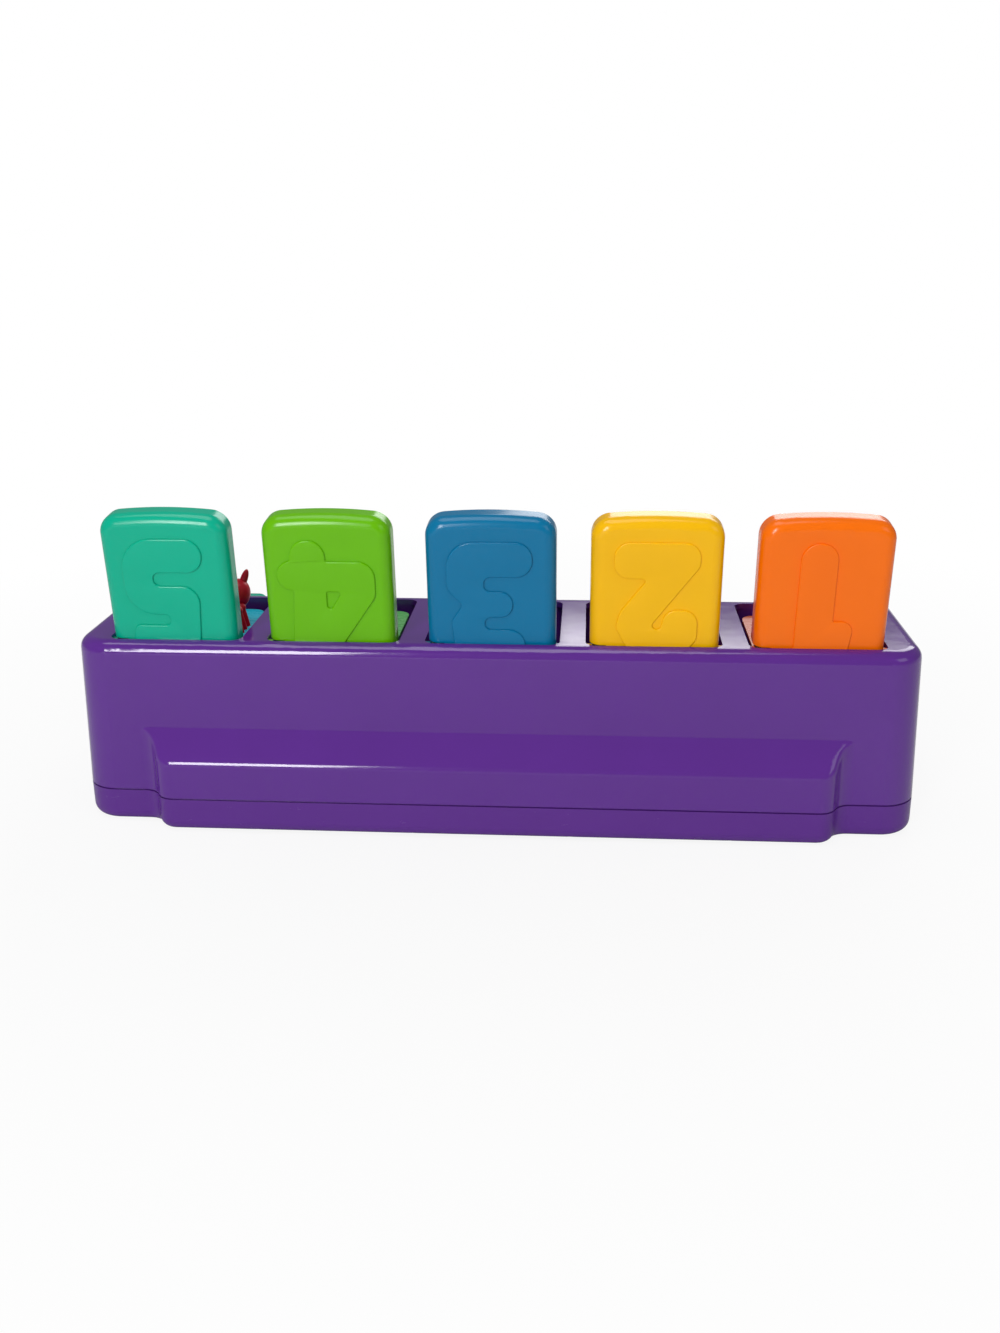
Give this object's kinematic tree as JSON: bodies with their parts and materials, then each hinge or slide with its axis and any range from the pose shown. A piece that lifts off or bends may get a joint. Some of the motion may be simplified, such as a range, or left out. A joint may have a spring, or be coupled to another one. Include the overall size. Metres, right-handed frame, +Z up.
{
  "type": "pop up animal toy",
  "caption": "Long box toy with a row of numbered hinged lids, an animal under each, and a different control in front of each to pop its lid open.",
  "frame": {"origin": "centre of the flat face that the toy rests on, below the middle lid", "axes": "+X along the row of lids, from lid 1 to lid 5; +Y to the back, where the lids are hinged; +Z up"},
  "size_m": [0.3438, 0.1539, 0.1321],
  "materials": {
    "housing_purple": "glossy moulded ABS",
    "spring_steel": "drawn wire",
    "screw_steel": "zinc plated",
    "inner_plastic": "natural white acetal",
    "lid_orange": "glossy moulded ABS",
    "stage_orange": "glossy moulded ABS",
    "lion_plastic": "glossy moulded ABS",
    "lid_yellow": "glossy moulded ABS",
    "stage_yellow": "glossy moulded ABS",
    "elephant_plastic": "glossy moulded ABS",
    "lid_blue": "glossy moulded ABS",
    "stage_blue": "glossy moulded ABS",
    "monkey_plastic": "glossy moulded ABS",
    "lid_green": "glossy moulded ABS",
    "stage_green": "glossy moulded ABS",
    "frog_plastic": "glossy moulded ABS",
    "lid_teal": "glossy moulded ABS",
    "stage_teal": "glossy moulded ABS",
    "crab_plastic": "glossy moulded ABS"
  },
  "bodies": {
    "housing": {"upper_housing": "housing_purple", "bottom_cover": "housing_purple", "housing_screws": "screw_steel", "latch_keepers": "inner_plastic", "keeper_screws": "screw_steel", "rocker_pin": "screw_steel", "lever_pin": "screw_steel", "lid_spring_1": "spring_steel", "lid_spring_2": "spring_steel", "lid_spring_3": "spring_steel", "lid_spring_4": "spring_steel", "lid_spring_5": "spring_steel", "latch_spring_1": "spring_steel", "latch_spring_2": "spring_steel", "latch_spring_3": "spring_steel", "latch_spring_4": "spring_steel", "latch_spring_5": "spring_steel"},
    "lid_1_body": {"lid_1": "lid_orange", "stage_1": "stage_orange", "lion": "lion_plastic"},
    "latch_1_body": {"latch_1": "inner_plastic"},
    "lid_2_body": {"lid_2": "lid_yellow", "stage_2": "stage_yellow", "elephant": "elephant_plastic"},
    "latch_2_body": {"latch_2": "inner_plastic"},
    "lid_3_body": {"lid_3": "lid_blue", "stage_3": "stage_blue", "monkey": "monkey_plastic"},
    "latch_3_body": {"latch_3": "inner_plastic"},
    "lid_4_body": {"lid_4": "lid_green", "stage_4": "stage_green", "frog": "frog_plastic"},
    "latch_4_body": {"latch_4": "inner_plastic"},
    "lid_5_body": {"lid_5": "lid_teal", "stage_5": "stage_teal", "crab": "crab_plastic"},
    "latch_5_body": {"latch_5": "inner_plastic"},
    "button_body": {"push_button": "lid_orange"},
    "knob_body": {"slide_knob": "lid_yellow", "slide_carrier": "inner_plastic"},
    "dial_body": {"dial_knob": "lid_blue", "dial_clip": "spring_steel"},
    "rocker_body": {"rocker": "lid_green"},
    "lever_body": {"flip_lever": "lid_teal"}
  },
  "joints": [
    {"name": "lid_1_hinge", "type": "hinge", "parent": "housing", "child": "lid_1_body", "pos_m": [-0.1288, 0.05705, 0.07616], "axis": [1, 0, 0], "range_deg": [0, 96.1], "stiffness_Nm_per_rad": 0.008, "springref_deg": -60.16, "deforming": ["lid_spring_1"]},
    {"name": "lid_2_hinge", "type": "hinge", "parent": "housing", "child": "lid_2_body", "pos_m": [-0.0644, 0.05705, 0.07616], "axis": [1, 0, 0], "range_deg": [0, 96.1], "stiffness_Nm_per_rad": 0.008, "springref_deg": -60.16, "deforming": ["lid_spring_2"]},
    {"name": "lid_3_hinge", "type": "hinge", "parent": "housing", "child": "lid_3_body", "pos_m": [0, 0.05705, 0.07616], "axis": [1, 0, 0], "range_deg": [0, 96.1], "stiffness_Nm_per_rad": 0.008, "springref_deg": -60.16, "deforming": ["lid_spring_3"]},
    {"name": "lid_4_hinge", "type": "hinge", "parent": "housing", "child": "lid_4_body", "pos_m": [0.0644, 0.05705, 0.07616], "axis": [1, 0, 0], "range_deg": [0, 96.1], "stiffness_Nm_per_rad": 0.008, "springref_deg": -60.16, "deforming": ["lid_spring_4"]},
    {"name": "lid_5_hinge", "type": "hinge", "parent": "housing", "child": "lid_5_body", "pos_m": [0.1288, 0.05705, 0.07616], "axis": [1, 0, 0], "range_deg": [0, 96.1], "stiffness_Nm_per_rad": 0.008, "springref_deg": -60.16, "deforming": ["lid_spring_5"]},
    {"name": "button_press", "type": "slide", "parent": "housing", "child": "button_body", "axis": [0, 0.5878, -0.809], "range_m": [0, 0.005]},
    {"name": "knob_slide", "type": "slide", "parent": "housing", "child": "knob_body", "axis": [1, 0, 0], "range_m": [0, 0.016]},
    {"name": "dial_turn", "type": "hinge", "parent": "housing", "child": "dial_body", "pos_m": [0, -0.0399, 0.05185], "axis": [0, 0.5878, -0.809], "range_deg": [0, 60]},
    {"name": "rocker_tilt", "type": "hinge", "parent": "housing", "child": "rocker_body", "pos_m": [0.0644, -0.03726, 0.0482], "axis": [-1, 0, 0], "range_deg": [0, 19.86]},
    {"name": "lever_flip", "type": "hinge", "parent": "housing", "child": "lever_body", "pos_m": [0.1288, -0.03696, 0.0478], "axis": [-1, 0, 0], "range_deg": [0, 21.34]},
    {"name": "latch_1_slide", "type": "slide", "parent": "housing", "child": "latch_1_body", "axis": [0, -0.809, -0.5878], "range_m": [0, 0.0025], "stiffness_N_per_m": 120, "springref_m": -0.004, "deforming": ["latch_spring_1"]},
    {"name": "latch_2_slide", "type": "slide", "parent": "housing", "child": "latch_2_body", "axis": [0, -0.809, -0.5878], "range_m": [0, 0.0025], "stiffness_N_per_m": 120, "springref_m": -0.004, "deforming": ["latch_spring_2"]},
    {"name": "latch_3_slide", "type": "slide", "parent": "housing", "child": "latch_3_body", "axis": [0, -0.809, -0.5878], "range_m": [0, 0.0025], "stiffness_N_per_m": 120, "springref_m": -0.004, "deforming": ["latch_spring_3"]},
    {"name": "latch_4_slide", "type": "slide", "parent": "housing", "child": "latch_4_body", "axis": [0, -0.809, -0.5878], "range_m": [0, 0.0025], "stiffness_N_per_m": 120, "springref_m": -0.004, "deforming": ["latch_spring_4"]},
    {"name": "latch_5_slide", "type": "slide", "parent": "housing", "child": "latch_5_body", "axis": [0, -0.809, -0.5878], "range_m": [0, 0.0025], "stiffness_N_per_m": 120, "springref_m": -0.004, "deforming": ["latch_spring_5"]}
  ],
  "couplings": [
    {"joint": "latch_1_slide", "follows": "button_press", "ratio": 0.5},
    {"joint": "latch_2_slide", "follows": "knob_slide", "ratio": 0.15625},
    {"joint": "dial_turn", "follows": "latch_3_slide", "rad_per_m": 418.88},
    {"joint": "rocker_tilt", "follows": "latch_4_slide", "rad_per_m": 138.62},
    {"joint": "lever_flip", "follows": "latch_5_slide", "rad_per_m": 149.01}
  ]
}
